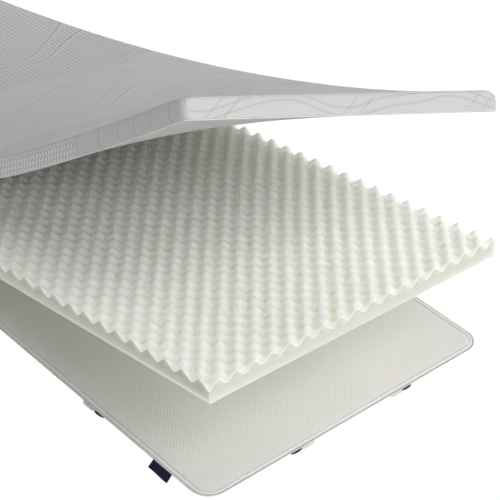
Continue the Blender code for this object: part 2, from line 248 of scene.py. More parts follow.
class Finish:
    """One procedural material, written as expressions on its nodes."""

    def __init__(self, name, roughness, sheen=0.1):
        self.material = bpy.data.materials.new(name)
        self.material.use_nodes = True
        self.tree = self.material.node_tree
        self.shader = self.tree.nodes["Principled BSDF"]
        self.surface({"Roughness": roughness, "Sheen Weight": sheen, "Specular IOR Level": 0.3})

    def plug(self, socket, value):
        """Link a value to a socket, or set the socket to a constant."""
        if isinstance(value, Value):
            self.tree.links.new(value.socket, socket)
        else:
            socket.default_value = value

    def node(self, kind, settings, sockets, output=0):
        """Add a node with its settings and its sockets' values."""
        made = self.tree.nodes.new(kind)
        for name, setting in settings.items():
            setattr(made, name, setting)
        for name, value in sockets.items():
            self.plug(made.inputs[name], value)
        return Value(self, made.outputs[output])

    def maths(self, operation, *values):
        """Math node of an operation."""
        return self.node("ShaderNodeMath", {"operation": operation}, dict(enumerate(values)))

    def sine(self, value, wavelength):
        """Wave from 0 to 1 along a length."""
        return 0.5 + 0.5 * self.maths("SINE", value * (2 * math.pi / wavelength))

    def ease(self, value, low, high):
        """0 below low and 1 above high, with a smooth step between."""
        settings = {"interpolation_type": "SMOOTHSTEP"}
        sockets = {"Value": value, "From Min": low, "From Max": high}
        return self.node("ShaderNodeMapRange", settings, sockets)

    def blend(self, share, first, second):
        """Colour from first to second by a share."""
        settings = {"data_type": "RGBA", "clamp_factor": True}
        return self.node("ShaderNodeMix", settings, {0: share, 6: first, 7: second}, output=2)

    def tints(self, share, colour, dark, light):
        """A colour from its dark to its light tint by a share."""
        return self.blend(share, tinted(colour, dark), tinted(colour, light))

    def mix(self, share, first, second):
        """Number from first to second by a share."""
        return self.node("ShaderNodeMix", {"data_type": "FLOAT"}, {0: share, 2: first, 3: second})

    def stripe(self, away, full, gone):
        """1 on a line and 0 far off it, fading between two distances."""
        return 1.0 - self.ease(self.maths("ABSOLUTE", away), full, gone)

    def wave(self, flat, run_x, run_y, pitch):
        """Ribs from 0 to 1 that run one way over a flat place, at a pitch."""
        x, y, _ = self.split(flat)
        return self.sine(run_y * x - run_x * y, pitch)

    def flat_vector(self):
        """Place of the surface point in its flat piece, before it was lifted."""
        return self.node("ShaderNodeAttribute", {"attribute_name": FLAT_PLACE}, {}, output=1)

    def object_vector(self):
        """Place of the surface point on its object."""
        return self.node("ShaderNodeTexCoord", {}, {}, output=3)

    def split(self, vector):
        """The three numbers of a vector."""
        separate = self.tree.nodes.new("ShaderNodeSeparateXYZ")
        self.plug(separate.inputs[0], vector)
        return [Value(self, socket) for socket in separate.outputs]

    def clouds(self, vector, scale, detail=2.0):
        """Soft noise about 0.5."""
        sockets = {"Vector": vector, "Scale": scale, "Detail": detail}
        return self.node("ShaderNodeTexNoise", {}, sockets)

    def surface(self, inputs):
        """Set the shader's inputs by name."""
        for name, value in inputs.items():
            self.plug(self.shader.inputs[name], value)

    def colour(self, value):
        """Set the base colour."""
        self.surface({"Base Color": value})

    def relief(self, height, depth, strength=1.0):
        """Bump the surface by a height that counts in steps of a depth in metres."""
        sockets = {"Height": height, "Distance": depth, "Strength": strength}
        self.surface({"Normal": self.node("ShaderNodeBump", {}, sockets)})


def tinted(colour, share):
    """A colour made lighter or darker by a share, with full opacity."""
    return (*[min(channel * share, 1.0) for channel in colour], 1.0)


def knit_top_finish(colours, sizes):
    """Patterned knit: checks at the head, slanted ribs at the foot, and plain between wave lines with
    painted shade and highlights.
    """
    finish = Finish("cover_knit_top", roughness=0.92)
    flat = finish.flat_vector()
    x, y, z = finish.split(flat)
    wander = finish.clouds(flat, 1.7, 0.0)
    sway = finish.sine(x + 0.35 * y + 0.5 * wander, 0.52)
    level = y + 0.42 * (wander - 0.5) + 0.085 * sway
    share = finish.maths("FRACT", level / sizes.wave_spacing)
    line, groove_edge_highlight = 0.0, 0.0
    # Each wave line is a groove with painted shade in it and a raised edge beside it with a painted
    # highlight
    for place, strength in ((0.12, 1.0), (0.33, 0.6)):
        away = (share - place) * sizes.wave_spacing
        line = line + strength * finish.stripe(away, 0.0014, 0.0046)
        groove_edge_highlight = groove_edge_highlight + strength * finish.stripe(away + 0.0068, 0.0018, 0.0056)
    head_zone = finish.ease(level, 0.385, 0.395)
    foot_zone = finish.ease(-1.0 * level, 0.050, 0.062)
    checks = finish.wave(flat, 0.943, 0.332, sizes.check_pitch)
    checks = checks * finish.wave(flat, 0.279, 0.960, sizes.check_pitch)
    ribs = finish.wave(flat, 0.731, 0.682, sizes.rib_pitch)
    dashes = finish.sine(x, 0.021)
    along, over = 0.742 * x - 0.670 * y, 0.670 * x + 0.742 * y
    streaked = finish.node("ShaderNodeCombineXYZ", {}, {0: 4.0 * along, 1: 24.0 * over})
    strands = finish.clouds(streaked, 1.0)
    weave = finish.clouds(flat, 420.0, 1.0)
    plain = 0.5 + 0.6 * (strands - 0.5)
    patterned = finish.mix(foot_zone, plain, ribs * (0.75 + 0.25 * dashes))
    patterned = finish.mix(head_zone, patterned, 0.1 + 0.9 * checks)
    patterned = finish.mix(finish.ease(z, PAD_THICKNESS - 0.0030, PAD_THICKNESS), 0.5, patterned)
    height = patterned + 0.15 * (weave - 0.5) - 0.8 * line + 0.3 * groove_edge_highlight
    # The colour carries painted shade along the grooves and a painted highlight along the edges beside them
    shade = 0.5 + 0.42 * (patterned - 0.5) + 0.22 * groove_edge_highlight - 0.30 * line
    finish.colour(finish.tints(shade, colours.knit, *KNIT_TINTS))
    finish.relief(height, 0.0014, 0.8)
    return finish.material


def knit_border_finish(colours, sizes):
    """Knit of the side border: long cells, fine checks and ribs, crossed by lines."""
    finish = Finish("cover_knit_border", roughness=0.92)
    flat = finish.flat_vector()
    x, y, z = finish.split(flat)
    along = x - y
    wander = finish.clouds(flat, 3.4, 0.0)
    wide_zone = finish.ease(along, 0.060, 0.064)
    end_zone = finish.ease(along, 0.56, 0.57)
    steep = along + 0.020 * finish.sine(z, 0.10) + 0.22 * wander
    steep_period, slanted_period, cell_height = 0.083, 0.37, 0.0125
    away = (finish.maths("FRACT", steep / steep_period) - 0.5) * steep_period
    slanted = (finish.maths("FRACT", (along - 1.2 * z) / slanted_period) - 0.62) * slanted_period
    slow = z - 0.018 - 0.040 * finish.sine(along + 0.30 * wander, 0.43)
    steady = wide_zone - end_zone
    # Each steep line is a groove with painted shade in it and a painted highlight beside it
    line = steady * finish.stripe(away, 0.0010, 0.0030)
    groove_edge_highlight = steady * finish.stripe(away - 0.0048, 0.0010, 0.0040)
    flat_line = 0.0
    for distance in (slanted, slanted - 0.047, slow, slow + 0.019):
        flat_line = flat_line + end_zone * finish.stripe(distance, 0.0018, 0.0036)
    row = finish.maths("FLOOR", z / cell_height)
    shift = 0.5 * finish.maths("FLOORED_MODULO", row, 2.0)
    cell_across = finish.maths("ABSOLUTE", finish.maths("FRACT", along / sizes.cell_pitch + shift) - 0.5)
    cell_up = finish.maths("ABSOLUTE", finish.maths("FRACT", z / cell_height) - 0.5)
    cells = 1.0 - finish.ease(cell_across * 1.7 + cell_up * 0.75, 0.34, 0.80)
    checks = finish.sine(along + z, 0.0082) * finish.sine(along - z, 0.0082)
    ribs = finish.sine(along - 1.1 * z, 0.0088)
    weave = finish.clouds(flat, 420.0, 1.0)
    fine = finish.mix(end_zone, checks, 0.3 + 0.5 * ribs)
    patterned = finish.mix(wide_zone, cells, fine)
    height = patterned + 0.15 * (weave - 0.5) - 0.8 * line - 0.25 * flat_line
    contrast = finish.mix(wide_zone, 0.75, finish.mix(end_zone, 0.42, 0.30))
    # The colour carries painted shade along the grooves and a painted highlight beside them
    shade = 0.5 + contrast * (patterned - 0.5) + 0.15 * groove_edge_highlight - 0.40 * line - 0.26 * flat_line
    finish.colour(finish.tints(shade, colours.knit, *KNIT_TINTS))
    finish.relief(height, 0.0010, 0.7)
    return finish.material


def panel_finish(colours, sizes):
    """Light knit with low ribs that run across the panel in staggered blocks."""
    finish = Finish("bottom_knit", roughness=0.9)
    place = finish.object_vector()
    x, y, _ = finish.split(place)
    along = 0.70 * x + 0.72 * y
    over = 0.72 * x - 0.70 * y
    block_length, block_width = 0.034, 0.030
    row = finish.maths("FLOOR", along / block_length)
    step = finish.maths("FLOOR", over / block_width + 0.37 * row)
    block = finish.node("ShaderNodeCombineXYZ", {}, {0: row, 1: step})
    depth = finish.node("ShaderNodeTexWhiteNoise", {"noise_dimensions": "3D"}, {"Vector": block})
    ribs = finish.sine(over, sizes.panel_rib_pitch)
    weave = finish.clouds(place, 380.0, 1.0)
    height = 0.25 + 0.5 * ribs * (0.50 + 0.50 * depth) + 0.2 * weave
    shade = 0.5 + 0.4 * (height - 0.5) + 0.2 * (finish.clouds(place, 3.0, 1.0) - 0.5)
    finish.colour(finish.tints(shade, colours.panel, 0.90, 1.08))
    finish.relief(height, 0.0005, 0.7)
    return finish.material


def foam_finish(name, colour, pore_scale, half_sides, painted_side_shade=1.0, painted_hollow_shade=1.0, levelling=0.0):
    """Cut foam: open pores with faint clouds of colour, and painted shade that darkens its cut sides and
    its hollows.

    Levelling is the share by which light shows the bumps lower than they are.
    """
    finish = Finish(name, roughness=0.95, sheen=0.05)
    flat = finish.flat_vector()
    x, y, z = finish.split(flat)
    beyond_x = finish.maths("ABSOLUTE", x) - half_sides[0]
    beyond_y = finish.maths("ABSOLUTE", y) - half_sides[1]
    # Painted shade on the cut sides: a mask that is 1 on the sides and on the rounding over to them
    rounding, edge = -0.0052, -0.0004
    side = finish.ease(finish.maths("MAXIMUM", beyond_x, beyond_y), rounding, edge)
    pores = finish.node("ShaderNodeTexVoronoi", {}, {"Vector": flat, "Scale": pore_scale})
    clouds = finish.clouds(flat, 14.0, 3.0)
    grain = finish.clouds(flat, 260.0, 2.0)
    shade = 0.5 + 0.5 * (clouds - 0.5) + 0.3 * (grain - 0.5) + 0.25 * (pores - 0.4)
    dark, light = 0.94, 1.05
    top = finish.tints(shade, colour, dark, light)
    # The cut sides take the colour darkened by a share, as painted shade
    cut = finish.tints(shade, colour, dark * painted_side_shade, light * painted_side_shade)
    height = finish.ease(z, CORE_BASE, CORE_BASE + CORE_BUMP_DEPTH)
    # Painted shade in the hollows: the colour darkens towards the bottom of each hollow between the bumps
    top = finish.blend((1.0 - height) * (1.0 - height), top, tinted(colour, painted_hollow_shade))
    finish.colour(finish.blend(side, top, cut))
    bumps = finish.maths("MAXIMUM", z, CORE_BASE)
    pore_depth = 0.0006
    finish.relief(0.4 * (pores + 0.6 * grain) - (levelling / pore_depth) * bumps, pore_depth)
    finish.surface({"Subsurface Weight": 1.0, "Subsurface Radius": (1.0, 1.0, 0.9)})
    finish.surface({"Subsurface Scale": 0.060})
    return finish.material


def woven_finish(name, colour, pitch, contrast, bent=False):
    """Plain woven fabric: threads over and under at a pitch."""
    finish = Finish(name, roughness=0.8)
    place = finish.flat_vector() if bent else finish.object_vector()
    x, y, z = finish.split(place)
    threads = finish.sine(x + 0.5 * z, pitch) * finish.sine(y + 0.5 * z, pitch)
    fuzz = finish.clouds(place, 500.0, 1.0)
    height = threads + 0.4 * fuzz
    finish.colour(finish.tints(height, colour, 1.0 - contrast, 1.0 + contrast))
    finish.relief(height, 0.0004, 0.7)
    return finish.material


def elastic_finish(colours):
    """Dark elastic band whose ribs run nearly along its length."""
    finish = Finish("elastic", roughness=0.7)
    place = finish.object_vector()
    x, y, _ = finish.split(place)
    over = finish.maths("ABSOLUTE", x) + finish.maths("ABSOLUTE", y)
    height = finish.sine(over, 0.0022) * 0.8 + 0.3 * finish.clouds(place, 500.0, 1.0)
    finish.colour(finish.tints(height, colours.elastic, 0.7, 1.4))
    finish.relief(height, 0.0004, 0.7)
    return finish.material


def label_finish(colours):
    """Satin woven label, bare, with a faint twill."""
    finish = Finish("label_weave", roughness=0.75, sheen=0.0)
    finish.surface({"Specular IOR Level": 0.12})
    place = finish.object_vector()
    x, y, _ = finish.split(place)
    twill = finish.sine(x + y, 0.0012)
    fuzz = finish.clouds(place, 300.0, 2.0)
    height = 0.7 * twill + 0.5 * fuzz
    finish.colour(finish.tints(height, colours.label, 0.7, 1.5))
    finish.relief(height, 0.0003, 0.6)
    return finish.material


# Mesh helpers


def thicken(bm, thickness):
    """Extrude flat faces upwards into a closed body."""
    grown = bmesh.ops.extrude_face_region(bm, geom=bm.faces[:], use_keep_orig=True)["geom"]
    raised = [item for item in grown if isinstance(item, bmesh.types.BMVert)]
    bmesh.ops.translate(bm, verts=raised, vec=(0, 0, thickness))
    bmesh.ops.recalc_face_normals(bm, faces=bm.faces)


def bevel(bm, geom, width, segments, affect="EDGES"):
    """Round edges or corners off by a width."""
    bmesh.ops.bevel(
        bm,
        geom=geom,
        offset=width,
        affect=affect,
        segments=segments,
        profile=0.5,
        material=-1,
    )


def flat_grid(width, length, steps, middle=(0.0, 0.0, 0.0)):
    """Flat grid of faces about a middle, in steps across and along."""
    bm = bmesh.new()
    bmesh.ops.create_grid(bm, x_segments=steps[0], y_segments=steps[1], size=0.5)
    bmesh.ops.scale(bm, vec=(width, length, 1.0), verts=bm.verts)
    bmesh.ops.translate(bm, vec=middle, verts=bm.verts)
    return bm


def inset_outline(corner_radius, inset):
    """Width, length and corner radius of the topper's outline at an inset."""
    return WIDTH - 2 * inset, LENGTH - 2 * inset, corner_radius - inset


def rounded_face(corner_radius, inset, height):
    """One flat face with rounded corners, from a bevelled square."""
    width, length, radius = inset_outline(corner_radius, inset)
    bm = flat_grid(width, length, (1, 1), UP * height)
    bevel(bm, bm.verts[:], radius, segments=6, affect="VERTICES")
    return bm


def rounded_plate(corner_radius, inset, underside, thickness):
    """Flat plate with rounded corners."""
    bm = rounded_face(corner_radius, inset, underside)
    thicken(bm, thickness)
    return bm


def rounded_ring(corner_radius, inset, band, underside, thickness):
    """Flat ring of a band's width inside a rounded outline."""
    bm = rounded_face(corner_radius, inset, underside)
    middle = bm.faces[:]
    bmesh.ops.inset_region(bm, faces=middle, thickness=band, use_boundary=True, use_even_offset=True)
    bmesh.ops.delete(bm, geom=middle, context="FACES_ONLY")
    thicken(bm, thickness)
    return bm


def round_edges(bm, height, width, segments):
    """Round the edges that run round a flat body at a height."""
    rim = [
        edge
        for edge in bm.edges
        if all(abs(vert.co.z - height) < TOLERANCE for vert in edge.verts)
        and any(abs(face.normal.z) < 0.5 for face in edge.link_faces)
    ]
    bevel(bm, rim, width, segments)


def cut_square_to(bm, direction, places):
    """Cut a body with planes square to a direction, at places along it."""
    for place in places:
        everything = bm.verts[:] + bm.edges[:] + bm.faces[:]
        bmesh.ops.bisect_plane(
            bm, geom=everything, dist=TOLERANCE, plane_co=direction * place, plane_no=direction
        )


def cut_in_steps(bm, width, length, steps):
    """Cut a body into equal steps across and along, so that it can bend."""
    for direction, size, count in zip((ACROSS, ALONG), (width, length), steps):
        cut_square_to(bm, direction, [size * (index / count - 0.5) for index in range(1, count)])


def rim_places(corner_radius, inset, pitch):
    """Even places round the topper's outline at an inset, each with the way that faces out."""
    width, length, radius = inset_outline(corner_radius, inset)
    arc = math.pi / 2 * radius
    reaches = [(width / 2, length / 2 - radius), (length / 2, width / 2 - radius)] * 2
    perimeter = sum(2 * half for _, half in reaches) + 4 * arc
    count = round(perimeter / pitch)
    places = []
    for index in range(count):
        along = perimeter * index / count
        side = 0
        while along >= 2 * reaches[side][1] + arc:
            along -= 2 * reaches[side][1] + arc
            side += 1
        reach, half = reaches[side]
        facing = math.pi / 2 * side
        outward = Vector((math.cos(facing), math.sin(facing), 0))
        onward = Vector((-outward.y, outward.x, 0))
        if along <= 2 * half:
            places.append((outward * reach + onward * (along - half), facing))
            continue
        turned = facing + (along - 2 * half) / radius
        centre = outward * (reach - radius) + onward * half
        places.append((centre + radius * Vector((math.cos(turned), math.sin(turned), 0)), turned))
    return places


def rods_round_rim(places, height, length, radius, lengthways=False):
    """Short six-sided rods at places round a rim, across it or lengthways."""
    bm = bmesh.new()
    for place, facing in places:
        turn = facing + (math.pi / 2 if lengthways else 0.0)
        where = Matrix.Translation(place + UP * height)
        lie_down = Matrix.Rotation(turn, 4, "Z") @ Matrix.Rotation(math.pi / 2, 4, "Y")
        bmesh.ops.create_cone(
            bm,
            cap_ends=True,
            segments=6,
            radius1=radius,
            radius2=radius,
            depth=length,
            matrix=where @ lie_down,
        )
    return bm


def scene_object(name, bm, material):
    """Turn a bmesh into an object in the scene."""
    mesh = bpy.data.meshes.new(name)
    bm.to_mesh(mesh)
    bm.free()
    mesh.materials.append(material)
    made = bpy.data.objects.new(name, mesh)
    bpy.context.scene.collection.objects.link(made)
    return made


def finish_piece(name, bm, material, slot, *nodes):
    """Turn a bmesh into a piece, which may stand for CAD nodes."""
    bmesh.ops.recalc_face_normals(bm, faces=bm.faces)
    piece = scene_object(name, bm, material)
    piece.data.shade_smooth()
    piece.data.set_sharp_from_angle(angle=SHARP_ANGLE)
    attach(piece, "root")
    if nodes:
        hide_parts(*nodes)
    return piece


# Bent layers, as in the part's source


def smooth_ramp(value):
    """Ease from 0 to 1 with level ends."""
    value = min(max(value, 0.0), 1.0)
    return value * value * (3.0 - 2.0 * value)


def slope_at(lift, distance):
    """Slope in radians of a long edge at a distance from its head end."""
    ramp = smooth_ramp((distance - lift.ramp_start) / (lift.ramp_end - lift.ramp_start))
    beyond = max(distance - lift.ramp_end, 0.0) / (LENGTH - lift.ramp_end)
    return math.radians(lift.ramp_slope * ramp + (lift.foot_slope - lift.ramp_slope) * beyond)


def edge_path(lift, head_y, rest_height):
    """Places (y, z, slope) along a long edge in equal steps from its head end."""
    step = LENGTH / PATH_STEPS
    y, z = head_y, rest_height
    path = []
    for index in range(PATH_STEPS + 1):
        path.append((y, z, slope_at(lift, index * step)))
        middle_slope = slope_at(lift, (index + 0.5) * step)
        y -= math.cos(middle_slope) * step
        z += math.sin(middle_slope) * step
    return path


def path_point(path, distance):
    """Place and slope on a long edge at a distance from its head end."""
    place = min(max(distance / LENGTH, 0.0), 1.0) * PATH_STEPS
    index = min(int(place), PATH_STEPS - 1)
    share = place - index
    return [low + (high - low) * share for low, high in zip(path[index], path[index + 1])]


def drift_at(drift, share):
    """Sideways place of the centre line, a parabola through its three values."""
    bulge = drift.middle - 0.5 * (drift.head + drift.foot)
    return drift.head + (drift.foot - drift.head) * share + 4.0 * bulge * share * (1.0 - share)


def bend_point(flat, layer):
    """Move a point of the flat layer to its place in the lifted layer."""
    distance = LENGTH / 2 - flat.y
    share = distance / LENGTH
    left_y, left_z, left_slope = path_point(layer.left, distance)
    right_y, right_z, right_slope = path_point(layer.right, distance)
    rise, run = right_z - left_z, right_y - left_y
    half_span = 0.5 * math.sqrt(layer.width**2 - rise**2 - run**2)
    centre = drift_at(layer.drift, share)
    left = Vector((centre - half_span, left_y, left_z))
    right = Vector((centre + half_span, right_y, right_z))
    blend = flat.x / layer.width + 0.5
    slope = left_slope + (right_slope - left_slope) * blend
    headwards = Vector((0, math.cos(slope), -math.sin(slope)))
    normal = (right - left).cross(headwards).normalized()
    arch = 4.0 * layer.arch * share * (1.0 - share) * math.sin(math.pi * blend)
    return left.lerp(right, blend) + normal * (flat.z + arch)


def keep_flat_place(bm):
    """Note each vertex's flat place, which the patterns follow."""
    noted = bm.verts.layers.float_vector.new(FLAT_PLACE)
    for vert in bm.verts:
        vert[noted] = vert.co


def bend(bm, layer):
    """Bend every vertex of a flat body into the lifted layer."""
    for vert in bm.verts:
        vert.co = bend_point(vert.co, layer)


def core_layer():
    """Bent shape of the foam core, resting on the welt at its head end."""
    left, right = (edge_path(lift, CORE_HEAD_Y, CORE_REST) for lift in (CORE_LEFT, CORE_RIGHT))
    return Layer(left, right, CORE_DRIFT, CORE_WIDTH, arch=0.0)


def pad_layer():
    """Bent shape of the top pad, resting on the foam core's bumps."""
    left, right = (edge_path(lift, PAD_HEAD_Y, PAD_REST) for lift in (PAD_LEFT, PAD_RIGHT))
    return Layer(left, right, PAD_DRIFT, WIDTH, PAD_ARCH)


def soften_corners(bm):
    """Press the pad's top down at its corners, most at the right foot corner."""
    for vert in bm.verts:
        across = smooth_ramp((abs(vert.co.x) - WIDTH / 2 + CORNER_REACH) / CORNER_REACH)
        along = smooth_ramp((abs(vert.co.y) - LENGTH / 2 + CORNER_REACH) / CORNER_REACH)
        drop = CORNER_DROP_FOOT_RIGHT if vert.co.x > 0 > vert.co.y else CORNER_DROP
        vert.co.z -= drop * across * along * (vert.co.z / PAD_THICKNESS) ** 2


def unevenness(place, swell):
    """Height of gentle swells at a place."""
    return swell.depth * noise.noise(Vector((place.x / swell.size, place.y / swell.size, swell.seed)))


# What a user would change


def length_property(name, description, default):
    """Length in metres that a user would change."""
    return bpy.props.FloatProperty(name=name, description=description, default=default, unit="LENGTH")


class TopperSizes(bpy.types.PropertyGroup):
    """Sizes of the patterns and of the small repeated shapes."""

    rib_pitch: length_property("Rib pitch", "Distance between ribs of the top knit", 0.0088)
    check_pitch: length_property("Check pitch", "Distance between checks of the top knit", 0.0140)
    cell_pitch: length_property("Cell pitch", "Distance between long cells of the border", 0.0145)
    wave_spacing: length_property("Wave spacing", "Distance between pairs of wave lines", 0.21)
    panel_rib_pitch: length_property("Panel rib pitch", "Distance between ribs of the bottom panel", 0.0075)
    tooth_pitch: length_property("Tooth pitch", "Distance between teeth of the zip", 0.0041)
    stitch_pitch: length_property("Stitch pitch", "Distance between stitches", 0.0065)
    core_cell: length_property("Core cell", "Size of a face of the foam core's surface", 0.0057)


def colour_property(name, description, default):
    """Colour that a user would change."""
    return bpy.props.FloatVectorProperty(
        name=name, description=description, default=default, size=3, min=0.0, max=1.0, subtype="COLOR"
    )


class TopperColours(bpy.types.PropertyGroup):
    """Colours of the topper's fabrics and foams."""

    knit: colour_property("Cover knit", "Grey knit of the top cover", (0.46, 0.46, 0.46))
    panel: colour_property("Bottom knit", "Light knit of the bottom cover", (0.622, 0.607, 0.584))
    core: colour_property("Core foam", "Foam with bumps", (0.928, 0.963, 0.845))
    comfort: colour_property("Comfort foam", "Smooth foam in the top cover", (0.29, 0.30, 0.285))
    welt: colour_property("Welt", "Padded edge of the bottom cover", (0.70, 0.70, 0.68))
    zip_tape: colour_property("Zip tape", "Tape of both halves of the zip", (0.68, 0.68, 0.67))
    zip_teeth: colour_property("Zip teeth", "Teeth of both halves of the zip", (0.50, 0.50, 0.50))
    elastic: colour_property("Elastic", "Bands under the corners", (0.012, 0.012, 0.013))
    tab: colour_property("Tabs", "Tabs at the ends of the elastics", (0.62, 0.62, 0.60))
    label: colour_property("Label", "Bare woven label", (0.0065, 0.0075, 0.024))


def settings():
    """The scene's sizes and colours."""
    scene = bpy.context.scene
    return scene.topper_sizes, scene.topper_colours


# Operators


class TOPPER_OT_foam_core(bpy.types.Operator):
    """Foam slab whose bumps and hollows alternate like a chessboard"""

    bl_idname = "topper.foam_core"
    bl_label = "Foam core"

    def execute(self, context):
        sizes, colours = settings()
        steps = [round(size / sizes.core_cell) for size in (CORE_WIDTH, LENGTH)]
        bm = flat_grid(CORE_WIDTH, LENGTH, steps)
        for vert in bm.verts:
            vert.co.z = self.bump_height(vert.co)
        rim = [edge for edge in bm.edges if edge.is_boundary]
        walls = bmesh.ops.extrude_edge_only(bm, edges=rim)["geom"]
        base = [item for item in walls if isinstance(item, bmesh.types.BMVert)]
        for vert in base:
            vert.co.z = 0.0
        bmesh.ops.dissolve_verts(bm, verts=[vert for vert in base if self.inside_end(vert)])
        open_edges = [edge for edge in bm.edges if edge.is_boundary]
        long_edges = [
            edge for edge in open_edges if abs(edge.verts[0].co.y - edge.verts[1].co.y) > TOLERANCE
        ]
        bmesh.ops.bridge_loops(bm, edges=long_edges)
        rim = [edge for edge in bm.edges if edge.is_manifold and self.along_rim(edge)]
        bevel(bm, rim, CORE_ROUNDING, segments=3)
        keep_flat_place(bm)
        bend(bm, core_layer())
        # Painted shade: the cut sides keep about half the colour, the hollows nine tenths of it
        material = foam_finish(
            "egg_foam",
            colours.core,
            pore_scale=900.0,
            half_sides=(CORE_WIDTH / 2, LENGTH / 2),
            painted_side_shade=0.49,
            painted_hollow_shade=0.90,
            levelling=0.50,
        )
        piece = finish_piece("core_foam", bm, material, "egg_foam", "foam_core")
        return {"FINISHED"}

    @staticmethod
    def bump_height(place):
        """Height of the foam at a flat place: rounded bumps and hollows by turns."""
        leftness = 0.5 - place.x / CORE_WIDTH
        half_along = HALF_BUMP_ALONG_RIGHT + (HALF_BUMP_ALONG_LEFT - HALF_BUMP_ALONG_RIGHT) * leftness
        across = (CORE_WIDTH / 2 - FIRST_BUMP_FROM_RIGHT - place.x) / HALF_BUMP_ACROSS
        along = (LENGTH / 2 - FIRST_BUMP_FROM_FOOT + place.y) / half_along
        wave = math.cos(math.pi * across) * math.cos(math.pi * along)
        return CORE_BASE + CORE_BUMP_DEPTH * (0.5 + 0.5 * wave)

    @staticmethod
    def along_rim(edge):
        """Whether an edge runs round the foam's top."""
        high = all(vert.co.z > CORE_BASE - TOLERANCE for vert in edge.verts)
        long_side = all(abs(vert.co.x) > CORE_WIDTH / 2 - TOLERANCE for vert in edge.verts)
        end = all(abs(vert.co.y) > LENGTH / 2 - TOLERANCE for vert in edge.verts)
        return high and (long_side or end)

    @staticmethod
    def inside_end(vert):
        """Whether a vertex lies inside the foot or head edge, away from the corners."""
        inside = abs(vert.co.x) < CORE_WIDTH / 2 - CLEARANCE
        return inside and abs(vert.co.y) > LENGTH / 2 - CLEARANCE


class TOPPER_OT_comfort_foam(bpy.types.Operator):
    """Smooth foam inside the top cover, whose underside shows"""

    bl_idname = "topper.comfort_foam"
    bl_label = "Comfort foam"

    def execute(self, context):
        _, colours = settings()
        inset = UPPER_ZIP_WIDTH + COMFORT_CLEARANCE
        height = PAD_THICKNESS - KNIT_THICKNESS - COMFORT_CLEARANCE - UPPER_ZIP_PROUD
        bm = rounded_plate(PAD_CORNER_RADIUS, inset, UPPER_ZIP_PROUD, height)
        round_edges(bm, UPPER_ZIP_PROUD, COMFORT_ROUNDING, 3)
        round_edges(bm, UPPER_ZIP_PROUD + height, COMFORT_ROUNDING, 3)
        cut_in_steps(bm, WIDTH, LENGTH, COMFORT_STEPS)
        keep_flat_place(bm)
        for vert in bm.verts:
            if vert.co.z < UPPER_ZIP_PROUD + TOLERANCE:
                vert.co.z += unevenness(vert.co, COMFORT_SWELL)
        soften_corners(bm)
        bend(bm, pad_layer())
        half_sides = (WIDTH / 2, LENGTH / 2)
        material = foam_finish("comfort_foam", colours.comfort, 1100.0, half_sides)
        piece = finish_piece("comfort_foam", bm, material, "comfort_foam", "comfort_layer")
        return {"FINISHED"}


class TOPPER_OT_knit_cover(bpy.types.Operator):
    """Knitted top panel and side border, stretched over the comfort foam"""

    bl_idname = "topper.knit_cover"
    bl_label = "Knit cover"

    def execute(self, context):
        sizes, colours = settings()
        layer = pad_layer()
        underside = PAD_THICKNESS - KNIT_THICKNESS
        bm = rounded_plate(PAD_CORNER_RADIUS, 0.0, underside, KNIT_THICKNESS)
        round_edges(bm, PAD_THICKNESS, KNIT_ROUNDING, 4)
        cut_in_steps(bm, WIDTH, LENGTH, PAD_STEPS)
        keep_flat_place(bm)
        for vert in bm.verts:
            if vert.co.z > PAD_THICKNESS - TOLERANCE:
                vert.co.z += unevenness(vert.co, KNIT_SWELL)
        soften_corners(bm)
        bend(bm, layer)
        top = finish_piece("top_knit", bm, knit_top_finish(colours, sizes), "cover_knit", "top_panel")

        border_foot = UPPER_ZIP_HEIGHT + CLEARANCE
        border_height = underside - CLEARANCE - border_foot
        bm = rounded_ring(PAD_CORNER_RADIUS, 0.0, KNIT_THICKNESS, border_foot, border_height)
        cut_square_to(bm, UP, [border_foot + border_height * share for share in BORDER_CUTS])
        cut_in_steps(bm, WIDTH, LENGTH, PAD_STEPS)
        keep_flat_place(bm)
        for vert in bm.verts:
            bulge = BORDER_BULGE * math.sin(math.pi * (vert.co.z - border_foot) / border_height)
            bulge *= 1.0 + unevenness(vert.co, BORDER_SWELL)
            if abs(vert.co.x) > WIDTH / 2 - PAD_CORNER_RADIUS:
                vert.co.x += math.copysign(bulge, vert.co.x)
            if abs(vert.co.y) > LENGTH / 2 - PAD_CORNER_RADIUS:
                vert.co.y += math.copysign(bulge, vert.co.y)
        soften_corners(bm)
        bend(bm, layer)
        material = knit_border_finish(colours, sizes)
        border = finish_piece("border_knit", bm, material, "cover_knit", "side_border")
        return {"FINISHED"}


class TOPPER_OT_upper_zip(bpy.types.Operator):
    """Upper half of the zip, along the lower edge of the side border"""

    bl_idname = "topper.upper_zip"
    bl_label = "Upper zip half"

    def execute(self, context):
        sizes, colours = settings()
        layer = pad_layer()
        underside = UPPER_ZIP_HEIGHT - UPPER_TAPE_THICKNESS
        bm = rounded_ring(PAD_CORNER_RADIUS, 0.0, UPPER_ZIP_WIDTH, underside, UPPER_TAPE_THICKNESS)
        round_edges(bm, UPPER_ZIP_HEIGHT, TAPE_ROUNDING, 2)
        cut_in_steps(bm, WIDTH, LENGTH, PAD_STEPS)
        keep_flat_place(bm)
        bend(bm, layer)
        material = woven_finish("zip_tape", colours.zip_tape, *TAPE_WEAVE, bent=True)
        finish_piece("upper_zip_band", bm, material, "zip_tape", "upper_zip_tape")

        places = rim_places(PAD_CORNER_RADIUS, UPPER_TOOTH_INSET, sizes.tooth_pitch)
        bm = rods_round_rim(places, UPPER_TOOTH_HEIGHT, TOOTH_LENGTH, TOOTH_RADIUS)
        keep_flat_place(bm)
        bend(bm, layer)
        material = woven_finish("zip_teeth", colours.zip_teeth, *TEETH_WEAVE, bent=True)
        finish_piece("upper_zip_teeth", bm, material, "zip_tape")
        return {"FINISHED"}


